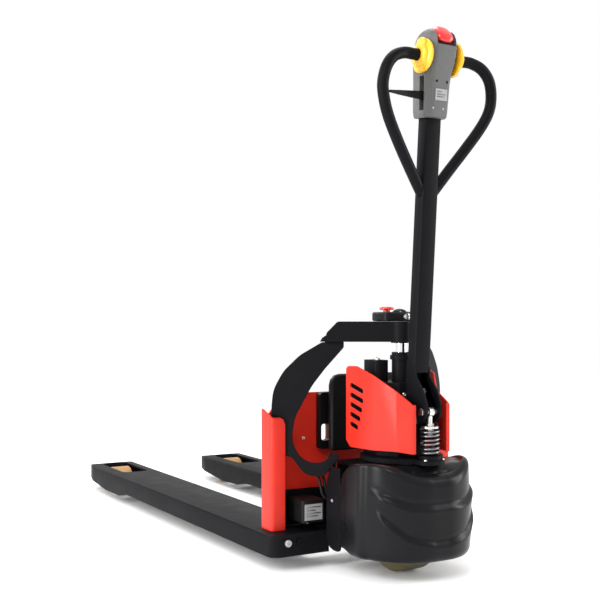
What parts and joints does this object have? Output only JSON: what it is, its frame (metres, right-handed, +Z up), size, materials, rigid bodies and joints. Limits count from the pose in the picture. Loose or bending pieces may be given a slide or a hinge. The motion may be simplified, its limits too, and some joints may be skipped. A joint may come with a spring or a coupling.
{
  "type": "pallet jack",
  "caption": "Powered pallet jack with two forks, a steered drive wheel under a moulded cover, a red lift frame with side arms and a sprung tiller with loop handles.",
  "frame": {"origin": "centre of the footprint, on the floor", "axes": "+Z up, +Y towards the fork tips, +X to the right of an operator who stands at -Y and faces the forks"},
  "size_m": [0.56, 1.6256, 1.2087],
  "materials": {
    "red_paint": "gloss powder coat",
    "black_paint": "satin powder coat",
    "moulded_black": "fine moulded grain",
    "grey_plastic": "fine moulded grain",
    "black_plastic": "satin",
    "yellow_plastic": "satin",
    "red_plastic": "gloss",
    "zinc": "zinc plated",
    "steel": "machined",
    "chrome": "polished",
    "roller_polyurethane": "smooth cast",
    "tyre_polyurethane": "smooth, lightly worn",
    "label_film": "printed film, blank"
  },
  "bodies": {
    "chassis": {"base_frame": "black_paint", "slewing_ring": "steel", "drive_cover": "moulded_black", "side_plate_left": "black_paint", "side_plate_right": "black_paint"},
    "fork_frame": {"fork_left": "black_paint", "fork_right": "black_paint", "heel_crossmember": "black_paint", "back_plate": "red_paint", "post_left": "red_paint", "post_right": "red_paint", "side_arm_left": "black_paint", "side_arm_right": "black_paint", "lift_beam": "black_paint", "ram_rod": "chrome", "battery_case": "black_plastic", "battery_pack": "black_plastic", "battery_tray": "black_plastic", "control_box": "black_plastic", "drive_controller": "black_plastic", "name_plate": "label_film"},
    "emergency_stop": {"emergency_stop": "red_plastic"},
    "key": {"key_switch": "zinc"},
    "rocker": {"rocker_shaft": "zinc"},
    "push_rod_left": {"push_rod_left": "zinc"},
    "push_rod_right": {"push_rod_right": "zinc"},
    "bracket_left": {"roller_bracket_left": "black_paint"},
    "bracket_right": {"roller_bracket_right": "black_paint"},
    "roller_left": {"load_roller_left": "roller_polyurethane"},
    "roller_right": {"load_roller_right": "roller_polyurethane"},
    "entry_left": {"entry_roller_left": "zinc"},
    "entry_right": {"entry_roller_right": "zinc"},
    "steer_head": {"turntable": "black_paint", "pump_block": "black_paint", "lift_cylinder": "black_paint", "cylinder_collar": "black_paint", "tiller_lug": "black_paint", "side_cover_left": "red_paint", "side_cover_right": "red_paint", "spring_seat": "black_paint", "return_spring": "zinc", "drive_yoke": "black_paint", "drive_motor": "steel", "gear_case": "steel", "drive_axle": "zinc"},
    "drive_wheel": {"drive_tyre": "tyre_polyurethane", "drive_wheel_hub": "steel"},
    "tiller": {"tiller_tube": "black_paint", "tiller_pivot_bolt": "zinc", "spring_eye_pin": "zinc", "handle_loop_left": "black_paint", "handle_loop_right": "black_paint", "head_front_shell": "grey_plastic", "head_rear_shell": "grey_plastic", "control_panel": "label_film"},
    "knob_left": {"drive_knob_left": "yellow_plastic"},
    "knob_right": {"drive_knob_right": "yellow_plastic"},
    "belly_button": {"belly_button": "red_plastic"},
    "lift_lever": {"lift_lever": "black_plastic"},
    "spring_rod": {"spring_rod": "zinc"}
  },
  "joints": [
    {"name": "lift", "type": "slide", "parent": "chassis", "child": "fork_frame", "axis": [0, 0, 1], "range_m": [0, 0.115]},
    {"name": "steer", "type": "hinge", "parent": "chassis", "child": "steer_head", "pos_m": [0, -0.64227, 0.26], "axis": [0, 0, 1], "range_deg": [-90, 90]},
    {"name": "drive_wheel_spin", "type": "hinge", "parent": "steer_head", "child": "drive_wheel", "pos_m": [0, -0.64227, 0.105], "axis": [1, 0, 0], "continuous": true},
    {"name": "tiller_tilt", "type": "hinge", "parent": "steer_head", "child": "tiller", "pos_m": [0, -0.72027, 0.35], "axis": [1, 0, 0], "range_deg": [0, 78], "stiffness_Nm_per_rad": 16, "springref_deg": -68.75, "deforming": ["return_spring"]},
    {"name": "spring_rod_swing", "type": "hinge", "parent": "tiller", "child": "spring_rod", "pos_m": [0, -0.74827, 0.369], "axis": [1, 0, 0], "range_deg": [-78, 0]},
    {"name": "knob_left_turn", "type": "hinge", "parent": "tiller", "child": "knob_left", "pos_m": [0, -0.77689, 1.14299], "axis": [1, 0, 0], "range_deg": [-35, 35], "stiffness_Nm_per_rad": 0.5},
    {"name": "knob_right_turn", "type": "hinge", "parent": "tiller", "child": "knob_right", "pos_m": [0, -0.77689, 1.14299], "axis": [1, 0, 0], "range_deg": [-35, 35], "stiffness_Nm_per_rad": 0.5},
    {"name": "lift_lever_swing", "type": "hinge", "parent": "tiller", "child": "lift_lever", "pos_m": [-0.033, -0.76169, 1.0609], "axis": [0, 0.9972, 0.075], "range_deg": [-12, 12], "stiffness_Nm_per_rad": 0.4},
    {"name": "belly_button_push", "type": "slide", "parent": "tiller", "child": "belly_button", "axis": [0, 0.075, -0.9972], "range_m": [0, 0.003], "stiffness_N_per_m": 800, "springref_m": -0.003},
    {"name": "emergency_stop_push", "type": "slide", "parent": "fork_frame", "child": "emergency_stop", "axis": [0, 0, -1], "range_m": [0, 0.004]},
    {"name": "key_turn", "type": "hinge", "parent": "fork_frame", "child": "key", "pos_m": [0.012, -0.64027, 0.579], "axis": [0, -1, 0], "range_deg": [0, 90]},
    {"name": "rocker_turn", "type": "hinge", "parent": "fork_frame", "child": "rocker", "pos_m": [0, -0.49027, 0.048], "axis": [-1, 0, 0], "range_deg": [0, 52]},
    {"name": "bracket_left_swing", "type": "hinge", "parent": "fork_frame", "child": "bracket_left", "pos_m": [-0.205, 0.51773, 0.048], "axis": [-1, 0, 0], "range_deg": [0, 52]},
    {"name": "bracket_right_swing", "type": "hinge", "parent": "fork_frame", "child": "bracket_right", "pos_m": [0.205, 0.51773, 0.048], "axis": [-1, 0, 0], "range_deg": [0, 52]},
    {"name": "push_rod_left_slide", "type": "slide", "parent": "fork_frame", "child": "push_rod_left", "axis": [0, 1, 0], "range_m": [0, 0.0176]},
    {"name": "push_rod_right_slide", "type": "slide", "parent": "fork_frame", "child": "push_rod_right", "axis": [0, 1, 0], "range_m": [0, 0.0176]},
    {"name": "load_roller_left_spin", "type": "hinge", "parent": "bracket_left", "child": "roller_left", "pos_m": [-0.205, 0.66773, 0.04], "axis": [1, 0, 0], "continuous": true},
    {"name": "load_roller_right_spin", "type": "hinge", "parent": "bracket_right", "child": "roller_right", "pos_m": [0.205, 0.66773, 0.04], "axis": [1, 0, 0], "continuous": true},
    {"name": "entry_roller_left_spin", "type": "hinge", "parent": "fork_frame", "child": "entry_left", "pos_m": [-0.205, 0.75173, 0.05], "axis": [1, 0, 0], "continuous": true},
    {"name": "entry_roller_right_spin", "type": "hinge", "parent": "fork_frame", "child": "entry_right", "pos_m": [0.205, 0.75173, 0.05], "axis": [1, 0, 0], "continuous": true}
  ],
  "couplings": [
    {"joint": "rocker_turn", "follows": "lift", "rad_per_m": 7.88},
    {"joint": "bracket_left_swing", "follows": "lift", "rad_per_m": 7.88},
    {"joint": "bracket_right_swing", "follows": "lift", "rad_per_m": 7.88},
    {"joint": "push_rod_left_slide", "follows": "lift", "ratio": 0.1525},
    {"joint": "push_rod_right_slide", "follows": "lift", "ratio": 0.1525},
    {"joint": "spring_rod_swing", "follows": "tiller_tilt", "ratio": -1},
    {"joint": "knob_right_turn", "follows": "knob_left_turn", "ratio": 1}
  ]
}
